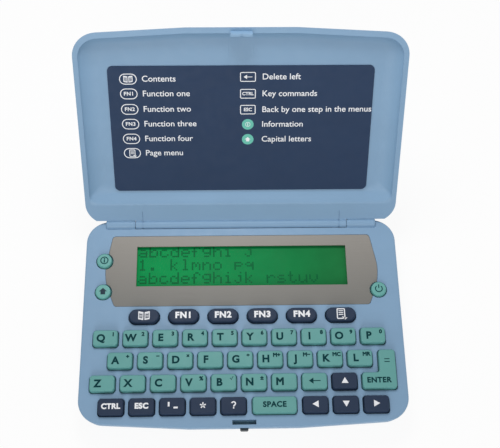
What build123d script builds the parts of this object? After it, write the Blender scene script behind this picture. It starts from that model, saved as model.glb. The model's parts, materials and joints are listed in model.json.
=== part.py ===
"""Pocket electronic dictionary: a hinged clamshell with a keyboard, a display and a printed lid.

The origin is the middle of the face that the case rests on. +Z is up, -Y is the side that the
user sits at, and the lid's hinge runs along X at the back. The lid is drawn opened for reading.

Two planes carry nearly everything. On both, x runs to the right and y runs away from the hinge
axis towards the free edge. On `deck`, z is the depth below the key deck. On `lid_face`, z points
out of the lid's inner face, at whoever reads it.
"""

import os
from math import atan2, cos, degrees, radians, sin, tan

from build123d import *

os.makedirs("parts", exist_ok=True)

# ---- Keys, in millimetres and degrees ------------------------------------------------------
letter_rows = ["QWERTYUIOP", "ASDFGHJKL", "ZXCVBNM"]
key_width = 9.8
key_length = 6.5
key_corner = 0.9
key_bevel = 0.4
key_draft = 3.0
key_rise = 2.0
key_gap = 0.25  # between a cap's skirt and its hole
key_pitch = 11.905
row_pitch = 9.36
top_indent = 0.5  # how far each row starts in from the third one, which is the outermost
home_indent = 6.6
sign_indent = 3.75
enter_column = 6.6
enter_gap = 0.4  # extra room left of ENTER's upright
space_gap = 2.5
flange_lip = 0.4
flange_thickness = 0.8

pill_count = 6
pill_width = 12.0
pill_length = 5.7
pill_corner = 1.9
pill_pitch = 15.925
round_radius = 3.1
round_rise = 1.2
round_margin = 8.1  # from the case's side to a round button's middle
power_margin = 8.85
round_row = 11.4  # from the bezel plate's back edge to the first round button
round_pitch = 13.8

# ---- Display and its bezel plate -----------------------------------------------------------
bezel_start = 5.4  # from the hinge axis
bezel_length = 31.5
bezel_thickness = 0.5
bezel_top_margin = 11.2  # from the case's side, at the back edge
bezel_bulge_margin = 7.8
bezel_bottom_margin = 12.8
bezel_bulge_at = 18.1
bezel_corner = 1.5
bezel_bend = 25.0
bezel_gap = 0.1
window_inset = 4.8
window_width = 87.1
window_length = 17.9
window_lip = 0.8  # how far the deck's opening stands back behind the plate's window
lcd_margin = 2.4
lcd_thickness = 2.0
pill_space = 1.95  # bezel plate to the round-ended keys
row_space = 3.15  # round-ended keys to the first row of letters

# ---- The case's outline and walls ----------------------------------------------------------
side_margin = 4.63
front_margin = 5.22
front_flat = 43.0  # width of the straight middle of the front edge
front_slant = 2.4  # how far the front edge falls back at the sides
front_corner = 10.0
rear_corner = 9.6
base_draft = 10.0
base_bottom_radius = 7.2
base_steps = 3  # straight cuts that make up each rounded edge
cavity_steps = 2
deck_edge_radius = 0.8
deck_edge_steps = 2
wall = 1.4
deck_skin = 1.6
seam_depth = 4.0  # depth at which the two halves of the base meet
open_angle = 122.4  # between the deck and the lid's inner face

# ---- The stack inside the base, from the deck down ------------------------------------------
pad_height = 2.2
pad_width = 3.6
pad_length = 2.8
mat_thickness = 0.6
board_thickness = 1.2
contact_room = 0.8
cell_radius = 10.0  # CR2032
cell_thickness = 3.2
cell_play = 0.2
cell_gap = 0.5
cell_row = 21.0

board_margin = 5.5
board_front_margin = 4.6
board_corner = 8.0
neck_start = 6.0
neck_gap = 2.0  # between the board and the rear posts
display_clearance = 1.5  # the rubber stops this far from the display

screw_radius = 1.0
screw_pilot_radius = 0.7
screw_head_radius = 1.9
screw_head_depth = 1.2
post_radius = 2.3
post_shoulder = 1.0
post_gap = 0.3
rear_post_margin = 14.5
rear_post_row = 9.0
middle_post_margin = 12.0
middle_post_space = 3.6  # bezel plate to the middle posts
rest_margin = 9.0
rest_inset = 25.0
front_rest_row = 9.5  # from the front edge
rib_width = 1.2
rib_length = 4.0

bay_wall = 1.0
bay_ledge = 0.9
door_overlap = 2.0
door_gap = 0.15
door_rise = 4.5  # how far the door wraps up the back of the case
door_recess = 0.25  # from the face that the case rests on
tongue_reach = 0.7
tongue_thickness = 0.5
tongue_cover = 0.4  # floor left above the tongue
grip_count = 5
grip_pitch = 1.6
grip_depth = 0.4
grip_length = 14.0
contact_thickness = 0.2
contact_width = 5.0
contact_length = 8.0
contact_gap = 0.05

# ---- The hinge ------------------------------------------------------------------------------
knuckle_radius = 1.8
knuckle_length = 88.8
knuckle_gap = 0.25
pin_radius = 0.95
pin_clearance = 0.05
pin_length = 2.5
ear_length = 12.0
ear_chamfer = 0.9
lug_width = 3.0
slit_width = 0.4
slit_length = 6.4
rear_rail = 3.4  # hinge axis to the front of the solid rail under the hinge

# ---- The lid --------------------------------------------------------------------------------
lid_skin = 2.3
lid_draft = 20.0
lid_edge_radius = 4.0
lid_edge_steps = 2
lid_foot = 0.35  # hinge axis to the lid's back edge, measured in the lid
lid_room = 0.8  # between the keys and the printed plate when the lid is shut
dish_side_rim = 2.0
dish_front_rim = 2.4
dish_slope_start = 9.6
dish_slope_end = 13.2
dish_chamfer = 0.8
legend_thickness = 0.4
legend_side_margin = 12.6
legend_start = 15.0
legend_front_margin = 16.8
legend_corner = 2.2

# ---- The latch ------------------------------------------------------------------------------
hook_width = 8.4
hook_thickness = 1.0
hook_height = 3.4
hook_inset = 1.5
hook_notch_width = 1.0
hook_notch_depth = 1.0
barb_reach = 0.45
barb_height = 0.75
slot_gap = 0.3
slot_side_gap = 0.45
slot_depth = 3.8
latch_width = 12.0
latch_thickness = 0.6
latch_plate = 0.8
latch_cover = 0.2  # between the deck's skin and the catch
latch_bite = 0.3
latch_travel = 0.6
latch_gap = 0.15
latch_tongue = 1.25  # how far the back of the catch reaches down to its spring
button_width = 3.2
button_cover = 2.0  # depth of the button's top
button_proud = 0.5
button_round = 0.55
button_back_gap = 0.1
spring_thickness = 0.2
spring_height = 1.1
spring_bow = 1.2

# ---- Places worked out from the sizes above ------------------------------------------------
columns = len(letter_rows[0])
keyboard_width = home_indent + (columns - 1) * key_pitch + enter_gap + enter_column
case_width = keyboard_width + 2 * side_margin
bezel_end = bezel_start + bezel_length
pill_row = bezel_end + pill_space + pill_length / 2
first_row = pill_row + pill_length / 2 + row_space + key_length / 2
last_row = first_row + len(letter_rows) * row_pitch
case_length = last_row + key_length / 2 + front_margin

flange_bottom = deck_skin + flange_thickness
mat_depth = flange_bottom + pad_height
board_depth = mat_depth + mat_thickness
board_bottom = board_depth + board_thickness
cell_top = board_bottom + contact_room
floor_depth = cell_top + cell_thickness + cell_play
base_height = floor_depth + wall

dish_depth = key_rise + legend_thickness + lid_room
lid_thickness = dish_depth + lid_skin

hinge_y = (case_length - knuckle_radius) / 2
hinge_point = (0, hinge_y, base_height)
lean = radians(open_angle)
deck = Plane(hinge_point, x_dir=(1, 0, 0), z_dir=(0, 0, -1))
deck_side = Plane(hinge_point, x_dir=(0, -1, 0), z_dir=(1, 0, 0))
lid_face = Plane(hinge_point, x_dir=(1, 0, 0), z_dir=(0, -sin(lean), -cos(lean)))
lid_back = Plane(hinge_point, x_dir=(-1, 0, 0), z_dir=-lid_face.z_dir)
lid_side = Plane(hinge_point, x_dir=lid_face.y_dir, z_dir=(1, 0, 0))
lid_depth_axis = Axis(lid_face.origin, lid_face.z_dir)

key_flare = tan(radians(key_draft)) * (key_rise + deck_skin)
hole_growth = key_flare + key_gap
flange_growth = hole_growth + flange_lip
enter_width = keyboard_width - (columns - 1) * key_pitch

window_start = bezel_start + window_inset
window_middle = window_start + window_length / 2
lcd_half = window_width / 2 + lcd_margin
lcd_end = window_start + window_length + lcd_margin
round_x = case_width / 2 - round_margin
power_x = case_width / 2 - power_margin
help_row = bezel_start + round_row
shift_row = help_row + round_pitch

rear_post_x = case_width / 2 - rear_post_margin
middle_post_x = case_width / 2 - middle_post_margin
middle_post_row = bezel_end + middle_post_space
rear_posts = [(-rear_post_x, rear_post_row), (rear_post_x, rear_post_row)]
middle_posts = [(-middle_post_x, middle_post_row), (middle_post_x, middle_post_row)]
posts = rear_posts + middle_posts

board_half = case_width / 2 - board_margin
board_start = rear_post_row + post_radius + neck_gap
board_end = case_length - board_front_margin
neck_half = rear_post_x - post_radius - neck_gap
rest_x = case_width / 2 - rest_margin
front_rest_x = case_width / 2 - rest_inset
front_rest = case_length - front_rest_row
board_rests = [(side * rest_x, cell_row) for side in (-1, 1)]
board_rests += [(side * front_rest_x, front_rest) for side in (-1, 1)]

bay_half = 2 * cell_radius + 1.5 * cell_gap
bay_start = cell_row - cell_radius - cell_gap / 2
bay_end = cell_row + cell_radius + cell_gap / 2
cell_x = cell_radius + cell_gap / 2
door_half = bay_half + door_overlap
door_end = bay_end + door_overlap
door_top = base_height - door_rise
tongue_depth = floor_depth + tongue_cover

hook_end = case_length - hook_inset
hook_start = hook_end - hook_thickness
barb_tip = hook_start - barb_reach
catch_front = barb_tip + latch_bite
catch_bottom = hook_height - barb_height - latch_gap
latch_top = deck_skin + latch_cover
latch_face = barb_tip - latch_gap
latch_back = latch_face - latch_thickness
plate_top = hook_height + latch_gap
plate_bottom = plate_top + latch_plate
plate_front = case_length - wall - plate_bottom * tan(radians(base_draft)) - button_back_gap
latch_foot = plate_bottom + latch_tongue
button_back = hook_end + latch_travel + button_back_gap
button_tip = case_length + button_proud
spring_depth = latch_foot - spring_height
spring_seat = latch_back - spring_bow - spring_thickness
latch_notch = spring_seat - rib_width - post_gap


def place_keys():
    """Returns every key as (name, kind, x, y), x and y on the deck plane."""
    keys = []
    for number in range(pill_count):
        x = (number - (pill_count - 1) / 2) * pill_pitch
        keys.append((f"key_function_{number + 1}", "pill", x, pill_row))
    left = (key_width - keyboard_width) / 2
    for row, indent in enumerate([top_indent, home_indent, 0]):
        for column, letter in enumerate(letter_rows[row]):
            x = left + indent + column * key_pitch
            keys.append((f"key_{letter.lower()}", "letter", x, first_row + row * row_pitch))
    third_row = last_row - row_pitch
    backspace_x = left + (columns - 3) * key_pitch
    arrow_x = left + (columns - 2) * key_pitch
    keys.append(("key_backspace", "letter", backspace_x, third_row))
    keys.append(("key_arrow_up", "letter", arrow_x, third_row))
    keys.append(("key_enter", "enter", (keyboard_width - enter_width) / 2, third_row))
    for column, sign in enumerate(["control", "escape", "apostrophe", "star", "question"]):
        sign_x = left + sign_indent + column * key_pitch
        keys.append((f"key_{sign}", "letter", sign_x, last_row))
    keys.append(("key_space", "space", (sign_x + arrow_x - key_pitch) / 2, last_row))
    for column, way in enumerate(["left", "down", "right"]):
        keys.append((f"key_arrow_{way}", "letter", arrow_x + (column - 1) * key_pitch, last_row))
    keys.append(("button_help", "round", -round_x, help_row))
    keys.append(("button_shift", "round", -round_x, shift_row))
    keys.append(("button_power", "round", power_x, shift_row))
    return keys


keys = place_keys()
key_places = {name: (x, y) for name, kind, x, y in keys}
space_room = key_places["key_arrow_left"][0] - key_places["key_question"][0]
space_width = space_room - key_width - 2 * space_gap


def key_outline(kind, growth, corner):
    """A key's outline about its own middle, grown all round by growth, its corners clipped."""
    with BuildSketch() as outline:
        if kind == "round":
            Circle(round_radius + growth)
        elif kind == "enter":
            right = enter_width / 2 + growth
            step = enter_width / 2 - enter_column - growth
            near = key_length / 2 + growth
            far = near + row_pitch
            with BuildLine():
                Polyline(
                    (-right, near),
                    (right, near),
                    (right, -far),
                    (step, -far),
                    (step, -near),
                    (-right, -near),
                    close=True,
                )
            make_face()
        else:
            width = {"letter": key_width, "space": space_width, "pill": pill_width}[kind]
            length = pill_length if kind == "pill" else key_length
            Rectangle(width + 2 * growth, length + 2 * growth)
        if kind != "round":
            chamfer(outline.vertices(), pill_corner if kind == "pill" else corner)
    return outline.sketch


def keys_outline(depth, growth):
    """The outlines of all the keys together, at one depth."""
    with BuildSketch(deck.offset(depth)) as outlines:
        for name, kind, x, y in keys:
            with Locations((x, y)):
                add(key_outline(kind, growth, key_corner))
    return outlines.sketch


def case_outline(plane, side_inset, front_inset, rear):
    """The plan of the case between y = rear and its front edge, drawn in by the insets."""
    half = case_width / 2 - side_inset
    front = case_length - front_inset
    middle = front_flat / 2
    with BuildSketch(plane) as outline:
        with BuildLine():
            Polyline(
                (-middle, front),
                (middle, front),
                (half, front - front_slant),
                (half, rear),
                (-half, rear),
                (-half, front - front_slant),
                close=True,
            )
        make_face()
        fillet(outline.vertices().group_by(Axis.Y)[1], front_corner - side_inset)
        fillet(outline.vertices().group_by(Axis.Y)[0], rear_corner - side_inset)
    return outline.sketch


def rounded_edge(radius, draft, depth, steps):
    """A rounded edge's profile as (depth, drawn in) points, cut in straight steps.

    The points lie on the arc that touches a wall, drafted from depth 0, and the face at depth.
    """
    middle = depth - radius
    touch = middle + radius * sin(radians(draft))
    reach = touch * tan(radians(draft)) + radius * cos(radians(draft))
    angles = [radians(draft + (90 - draft) * step / steps) for step in range(steps + 1)]
    return [(middle + radius * sin(angle), reach - radius * cos(angle)) for angle in angles]


def stacked_block(plane, profile, inset, rear):
    """A block on the case's outline whose walls follow a profile, drawn in by inset as well."""
    with BuildPart() as block:
        for (top, wide), (bottom, narrow) in zip(profile, profile[1:]):
            drawn_in = inset + wide
            outline = case_outline(plane.offset(top), drawn_in, drawn_in, drawn_in + rear)
            slope = degrees(atan2(narrow - wide, bottom - top))
            extrude(outline, amount=bottom - top, taper=slope)
    return block.part


def base_profile(*depths):
    """Points of the base's drafted wall at some depths."""
    return [(depth, depth * tan(radians(base_draft))) for depth in depths]


def tray_block(inset, steps):
    """The base's lower half as a solid with its rounded bottom, drawn in by inset."""
    bottom = base_height - inset
    edge = rounded_edge(base_bottom_radius - inset, base_draft, bottom, steps)
    return stacked_block(deck, base_profile(seam_depth) + edge, inset, -knuckle_radius)


def deck_box(x_limits, y_limits, depth_limits):
    """A box between pairs of limits on the deck plane, depths measured down."""
    with BuildPart() as box:
        with BuildSketch(deck.offset(depth_limits[0])):
            with Locations((sum(x_limits) / 2, sum(y_limits) / 2)):
                Rectangle(x_limits[1] - x_limits[0], y_limits[1] - y_limits[0])
        extrude(amount=depth_limits[1] - depth_limits[0])
    return box.part


def both_ways(half):
    """A pair of limits the same distance either side of the middle."""
    return (-half, half)


def on_side(side, near, far):
    """Two distances from the middle as a pair of x limits on the left (-1) or right (1)."""
    return tuple(sorted([side * near, side * far]))


def hinge_rod(radius, x_limits):
    """A rod about the hinge axis."""
    with BuildPart() as rod:
        with BuildSketch(deck_side.offset(x_limits[0])):
            Circle(radius)
        extrude(amount=x_limits[1] - x_limits[0])
    return rod.part


def bezel_outline(growth):
    """The display plate's outline on the deck: its short ends bulge between the round buttons."""
    half = case_width / 2 + growth
    back = bezel_start - growth
    bulge_row = bezel_start + bezel_bulge_at
    front = bezel_end + growth
    with BuildSketch(deck) as outline:
        with BuildLine():
            Polyline(
                (bezel_top_margin - half, back),
                (half - bezel_top_margin, back),
                (half - bezel_bulge_margin, bulge_row),
                (half - bezel_bottom_margin, front),
                (bezel_bottom_margin - half, front),
                (bezel_bulge_margin - half, bulge_row),
                close=True,
            )
        make_face()
        fillet(outline.vertices().group_by(Axis.Y)[1], bezel_bend)
        fillet(outline.vertices().group_by(Axis.Y)[0], bezel_corner)
        fillet(outline.vertices().group_by(Axis.Y)[-1], bezel_corner)
    return outline.sketch


def board_outline(depth):
    """The circuit board's outline: wide under the keys, narrow between the rear posts."""
    with BuildSketch(deck.offset(depth)) as outline:
        with Locations((0, (board_start + board_end) / 2)):
            Rectangle(2 * board_half, board_end - board_start)
        fillet(outline.vertices().group_by(Axis.Y)[-1], board_corner)
        with Locations((0, (neck_start + board_start) / 2)):
            Rectangle(2 * neck_half, board_start - neck_start)
        with Locations((0, (latch_notch + board_end) / 2)):
            notch_width = latch_width + 2 * post_gap
            Rectangle(notch_width, board_end - latch_notch, mode=Mode.SUBTRACT)
        with Locations(*middle_posts):
            Circle(post_radius + post_gap, mode=Mode.SUBTRACT)
    return outline.sketch


def discs(places, radius, depth):
    """Circles of one size at several places, at one depth."""
    with BuildSketch(deck.offset(depth)) as outlines:
        with Locations(*places):
            Circle(radius)
    return outlines.sketch


def finish(part, name):
    """Labels a finished piece and writes its file."""
    part.label = name
    export_step(part, f"parts/{name}.step")


# ---- Upper half of the base: key deck, skirt and hinge ears --------------------------------
ear_start = knuckle_length / 2 + knuckle_gap
ear_end = ear_start + ear_length
button_hole = deck_box(
    both_ways(button_width / 2 + latch_gap),
    (hook_start, button_tip),
    (button_cover - latch_gap, plate_bottom + latch_gap),
)

with BuildPart() as deck_cavity:
    add(stacked_block(deck, base_profile(deck_skin, seam_depth), wall, -knuckle_radius))
    before_rail = deck_box(both_ways(case_width), (rear_rail, case_length), (0, base_height))
    add(before_rail, mode=Mode.INTERSECT)

with BuildPart() as deck_shell:
    # The edge is worked out upwards, so its heights are turned into depths.
    edge = rounded_edge(deck_edge_radius, -base_draft, 0, deck_edge_steps)
    top_profile = [(-height, drawn_in) for height, drawn_in in reversed(edge)]
    add(stacked_block(deck, top_profile + base_profile(seam_depth), 0, -knuckle_radius))
    add(deck_cavity.part, mode=Mode.SUBTRACT)
    for side in (-1, 1):
        with BuildPart(mode=Mode.PRIVATE) as ear:
            add(hinge_rod(knuckle_radius, on_side(side, ear_start, ear_end)))
            outer_face = ear.faces().sort_by(Axis.X)[-1 if side > 0 else 0]
            chamfer(outer_face.edges(), ear_chamfer)
        add(ear.part)
        pin_hole = on_side(side, ear_start - knuckle_gap, ear_start + pin_length)
        add(hinge_rod(pin_radius + pin_clearance, pin_hole), mode=Mode.SUBTRACT)
    add(hinge_rod(knuckle_radius + knuckle_gap, both_ways(ear_start)), mode=Mode.SUBTRACT)
    # The bezel plate's seat, and the display's opening behind its window.
    extrude(bezel_outline(bezel_gap), amount=bezel_thickness, mode=Mode.SUBTRACT)
    with BuildSketch(deck):
        with Locations((0, window_middle)):
            Rectangle(window_width + 2 * window_lip, window_length + 2 * window_lip)
    extrude(amount=deck_skin, mode=Mode.SUBTRACT)
    extrude(keys_outline(0, hole_growth), amount=deck_skin, mode=Mode.SUBTRACT)
    # Bosses that take the case screws, then the way in for the hook and the latch's button.
    extrude(discs(posts, post_radius, deck_skin), amount=seam_depth - deck_skin)
    pilots = discs(posts, screw_pilot_radius, deck_skin)
    extrude(pilots, amount=seam_depth - deck_skin, mode=Mode.SUBTRACT)
    slot_x = both_ways(hook_width / 2 + slot_side_gap)
    slot = deck_box(slot_x, (latch_face, hook_end + slot_gap), (0, slot_depth))
    add(slot, mode=Mode.SUBTRACT)
    add(button_hole, mode=Mode.SUBTRACT)
finish(deck_shell.part, "deck_shell")

# ---- Lower half of the base ----------------------------------------------------------------
behind = -2 * knuckle_radius  # safely behind the case's back
opening_half = door_half + door_gap
opening_end = door_end + door_gap

with BuildPart() as tray_inside:
    # A wall round the cells stands on a ledge over the edge of the door's opening.
    ledge_limits = (bay_start - bay_wall, opening_end + bay_ledge)
    ledge_x = both_ways(opening_half + bay_ledge)
    add(deck_box(ledge_x, ledge_limits, (floor_depth - bay_ledge, floor_depth)))
    wall_limits = (bay_start - bay_wall, bay_end + bay_wall)
    add(deck_box(both_ways(bay_half + bay_wall), wall_limits, (board_bottom, floor_depth)))
    bay = deck_box(both_ways(bay_half), (bay_start, bay_end), (board_bottom, floor_depth))
    add(bay, mode=Mode.SUBTRACT)
    # Posts for the case screws. The middle pair carry the circuit board on a shoulder.
    extrude(discs(posts, post_radius, seam_depth), amount=floor_depth - seam_depth)
    shoulders = discs(middle_posts, post_radius + post_shoulder, board_bottom)
    extrude(shoulders, amount=floor_depth - board_bottom)
    with BuildSketch(deck.offset(board_bottom)):
        with Locations(*board_rests):
            Rectangle(rib_width, rib_length)
    extrude(amount=floor_depth - board_bottom)
    # Ribs carry the latch: before its tongue, under its tongue and behind its spring.
    for side in (-1, 1):
        rib_x = on_side(side, latch_width / 2 - rib_width, latch_width / 2)
        add(deck_box(rib_x, (latch_face, case_length), (plate_bottom, floor_depth)))
        add(deck_box(rib_x, (latch_back - latch_travel, latch_face), (latch_foot, floor_depth)))
        add(deck_box(rib_x, (spring_seat - rib_width, spring_seat), (seam_depth, floor_depth)))
    add(tray_block(wall / 2, cavity_steps), mode=Mode.INTERSECT)

with BuildPart() as base_tray:
    add(tray_block(0, base_steps))
    add(tray_block(wall, cavity_steps), mode=Mode.SUBTRACT)
    opening_limits = (door_top - door_gap, base_height)
    opening = deck_box(both_ways(opening_half), (behind, opening_end), opening_limits)
    add(opening, mode=Mode.SUBTRACT)
    add(tray_inside.part)
    # Grooves for the door's side tongues.
    groove = deck_box(
        both_ways(door_half + tongue_reach + door_gap),
        (behind, bay_end + door_gap),
        (tongue_depth - door_gap, tongue_depth + tongue_thickness + door_gap),
    )
    add(groove, mode=Mode.SUBTRACT)
    add(button_hole, mode=Mode.SUBTRACT)
    screw_length = base_height - seam_depth
    extrude(discs(posts, screw_radius, seam_depth), amount=screw_length, mode=Mode.SUBTRACT)
    heads = discs(posts, screw_head_radius, base_height - screw_head_depth)
    extrude(heads, amount=screw_head_depth, mode=Mode.SUBTRACT)
finish(base_tray.part, "base_tray")

# ---- Battery door, cells and contacts ------------------------------------------------------
with BuildPart() as battery_door:
    add(tray_block(door_recess, base_steps))
    add(tray_block(wall - door_recess, cavity_steps), mode=Mode.SUBTRACT)
    door_limits = deck_box(both_ways(door_half), (behind, door_end), (door_top, base_height))
    add(door_limits, mode=Mode.INTERSECT)
    tongue_x = both_ways(door_half + tongue_reach)
    tongue_limits = (tongue_depth, tongue_depth + tongue_thickness)
    add(deck_box(tongue_x, (bay_start, bay_end), tongue_limits))
    with BuildSketch(deck.offset(base_height - door_recess - grip_depth)):
        with Locations((0, cell_row)):
            with GridLocations(0, grip_pitch, 1, grip_count):
                Rectangle(grip_length, grip_pitch / 2)
    extrude(amount=grip_depth, mode=Mode.SUBTRACT)
finish(battery_door.part, "battery_door")

with BuildPart() as coin_cells:
    cell_places = [(-cell_x, cell_row), (cell_x, cell_row)]
    extrude(discs(cell_places, cell_radius, cell_top), amount=cell_thickness)
finish(coin_cells.part, "coin_cells")

with BuildPart() as battery_contacts:
    # Each strip leaves the board's underside and bends down to the top of its cell.
    root = cell_row - contact_length / 2
    tip = cell_row + contact_length / 2
    tip_depth = cell_top - contact_gap - contact_thickness
    for x in (-cell_x, cell_x):
        with BuildSketch(deck_side.offset(x)):
            with BuildLine():
                Polyline(
                    (root, board_bottom),
                    (cell_row, board_bottom),
                    (tip, tip_depth),
                    (tip, tip_depth + contact_thickness),
                    (cell_row, board_bottom + contact_thickness),
                    (root, board_bottom + contact_thickness),
                    close=True,
                )
            make_face()
        extrude(amount=contact_width / 2, both=True)
finish(battery_contacts.part, "battery_contacts")

# ---- Circuit board, rubber mat and display -------------------------------------------------
with BuildPart() as circuit_board:
    extrude(board_outline(board_depth), amount=board_thickness)
finish(circuit_board.part, "circuit_board")

with BuildPart() as keypad_mat:
    extrude(board_outline(mat_depth), amount=mat_thickness)
    free_half = lcd_half + display_clearance
    free_zone = (0, lcd_end + display_clearance)
    display_zone = deck_box(both_ways(free_half), free_zone, (mat_depth, board_depth))
    add(display_zone, mode=Mode.SUBTRACT)
    with BuildSketch(deck.offset(flange_bottom)):
        with Locations(*key_places.values()):
            Rectangle(pad_width, pad_length)
    extrude(amount=mat_depth - flange_bottom)
finish(keypad_mat.part, "keypad_mat")

with BuildPart() as lcd_panel:
    with BuildSketch(deck.offset(deck_skin)):
        with Locations((0, window_middle)):
            Rectangle(2 * lcd_half, window_length + 2 * lcd_margin)
    extrude(amount=lcd_thickness)
finish(lcd_panel.part, "lcd_panel")

with BuildPart() as bezel_plate:
    extrude(bezel_outline(0), amount=bezel_thickness)
    with BuildSketch(deck):
        with Locations((0, window_middle)):
            Rectangle(window_width, window_length)
        with Locations(*[(x, y) for name, kind, x, y in keys if kind == "round"]):
            Circle(round_radius + hole_growth + bezel_gap)
    extrude(amount=bezel_thickness, mode=Mode.SUBTRACT)
finish(bezel_plate.part, "bezel_plate")

# ---- Keys: a drafted cap on a flange that the deck holds down ------------------------------
for name, kind, x, y in keys:
    rise = round_rise if kind == "round" else key_rise
    with BuildPart() as key:
        with BuildSketch(deck.offset(-rise)):
            with Locations((x, y)):
                add(key_outline(kind, 0, key_corner))
        extrude(amount=rise + deck_skin, taper=0 if kind == "round" else -key_draft)
        chamfer(key.faces().sort_by(Axis.Z)[-1].edges(), key_bevel)
        with BuildSketch(deck.offset(deck_skin)):
            with Locations((x, y)):
                add(key_outline(kind, flange_growth, key_corner))
        extrude(amount=flange_thickness)
    finish(key.part, name)

# ---- Latch: a sprung slide that passes under the hook and catches over its barb ------------
with BuildPart() as latch_slider:
    with BuildSketch(deck_side):
        with BuildLine():
            Polyline(
                (latch_back, latch_top),
                (catch_front, latch_top),
                (catch_front, catch_bottom),
                (latch_face, catch_bottom),
                (latch_face, plate_top),
                (plate_front, plate_top),
                (plate_front, plate_bottom),
                (latch_face, plate_bottom),
                (latch_face, latch_foot),
                (latch_back, latch_foot),
                close=True,
            )
        make_face()
    extrude(amount=latch_width / 2, both=True)
    # The stem goes out through the front wall, and the button stands up from its end.
    add(deck_box(both_ways(button_width / 2), (latch_face, button_back), (plate_top, plate_bottom)))
    with BuildSketch(deck.offset(button_cover)) as button:
        with Locations((0, (button_back + button_tip) / 2)):
            Rectangle(button_width, button_tip - button_back)
        fillet(button.vertices().group_by(Axis.Y)[-1], button_round)
    extrude(amount=plate_bottom - button_cover)
finish(latch_slider.part, "latch_slider")

with BuildPart() as latch_spring:
    with BuildSketch(deck.offset(spring_depth)):
        with BuildLine():
            end = latch_width / 2
            bow_front = spring_seat + spring_thickness
            front = ThreePointArc((-end, bow_front), (0, latch_back), (end, bow_front))
            crown = latch_back - spring_thickness
            back = ThreePointArc((-end, spring_seat), (0, crown), (end, spring_seat))
            Line(front @ 0, back @ 0)
            Line(front @ 1, back @ 1)
        make_face()
    extrude(amount=spring_height)
finish(latch_spring.part, "latch_spring")

# ---- Lid ------------------------------------------------------------------------------------
with BuildPart() as dish:
    with BuildSketch(lid_side):
        with BuildLine():
            Polyline(
                (dish_slope_start, 0),
                (dish_slope_end, -dish_depth),
                (case_length, -dish_depth),
                (case_length, 0),
                close=True,
            )
        make_face()
    extrude(amount=case_width, both=True)
    dish_plan = case_outline(lid_face.offset(-dish_depth), dish_side_rim, dish_front_rim, 0)
    extrude(dish_plan, amount=dish_depth, mode=Mode.INTERSECT)
    chamfer(dish.edges().group_by(lid_depth_axis)[0], dish_chamfer)

with BuildPart() as lid_shell:
    edge = rounded_edge(lid_edge_radius, lid_draft, lid_thickness, lid_edge_steps)
    add(stacked_block(lid_back, [(0, 0)] + edge, 0, lid_foot))
    add(dish.part, mode=Mode.SUBTRACT)
    knuckle_half = knuckle_length / 2
    for side in (-1, 1):
        trough = on_side(side, knuckle_half, case_width)
        add(hinge_rod(knuckle_radius + knuckle_gap, trough), mode=Mode.SUBTRACT)
        add(hinge_rod(pin_radius, on_side(side, 0, knuckle_half + pin_length)))
    add(hinge_rod(knuckle_radius, both_ways(knuckle_half)))
    # A slit beside each pin lets its lug spring inwards when the lid is snapped in.
    with BuildSketch(lid_face.offset(-lid_thickness)):
        with Locations((0, slit_length / 2 - knuckle_radius)):
            with GridLocations(2 * (knuckle_half - lug_width), 0, 2, 1):
                Rectangle(slit_width, slit_length + 2 * knuckle_radius)
    extrude(amount=lid_thickness + 2 * knuckle_radius, mode=Mode.SUBTRACT)
    # The hook stands on the front rim, with its barb towards the hinge.
    with BuildSketch(lid_side):
        with BuildLine():
            Polyline(
                (hook_start, -wall),
                (hook_end, -wall),
                (hook_end, hook_height),
                (hook_start, hook_height),
                (barb_tip, hook_height - barb_height / 2),
                (barb_tip, hook_height - barb_height),
                (hook_start, hook_height - barb_height),
                close=True,
            )
        make_face()
    extrude(amount=hook_width / 2, both=True)
    with BuildSketch(lid_face.offset(hook_height - hook_notch_depth)):
        with Locations((0, hook_end)):
            Rectangle(hook_notch_width, 2 * (hook_end - barb_tip))
    extrude(amount=hook_notch_depth, mode=Mode.SUBTRACT)
finish(lid_shell.part, "lid_shell")

with BuildPart() as legend_plate:
    legend_end = case_length - legend_front_margin
    with BuildSketch(lid_face.offset(-dish_depth)):
        with Locations((0, (legend_start + legend_end) / 2)):
            legend_width = case_width - 2 * legend_side_margin
            RectangleRounded(legend_width, legend_end - legend_start, legend_corner)
    extrude(amount=legend_thickness)
finish(legend_plate.part, "legend_plate")
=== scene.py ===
# %% [markdown]
# # Dressing a pocket electronic dictionary
#
# A clamshell dictionary is a handful of moulded pieces: two halves of a base, a lid, a display
# under a plate, and forty-seven keys. The construction is already made and arrives as a frame of
# solids at their real size. This lesson gives them their looks: soft edges and satin plastic,
# caps with rolled rims, printed legends, a dot display and screws.
#
# All lengths are written in millimetres and multiplied by `mm`, because Blender counts in metres.

# %% Load the frame
import json
from math import cos, pi, radians, sin, tan

import bpy
import numpy as np
from mathutils import Matrix, Vector


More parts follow.
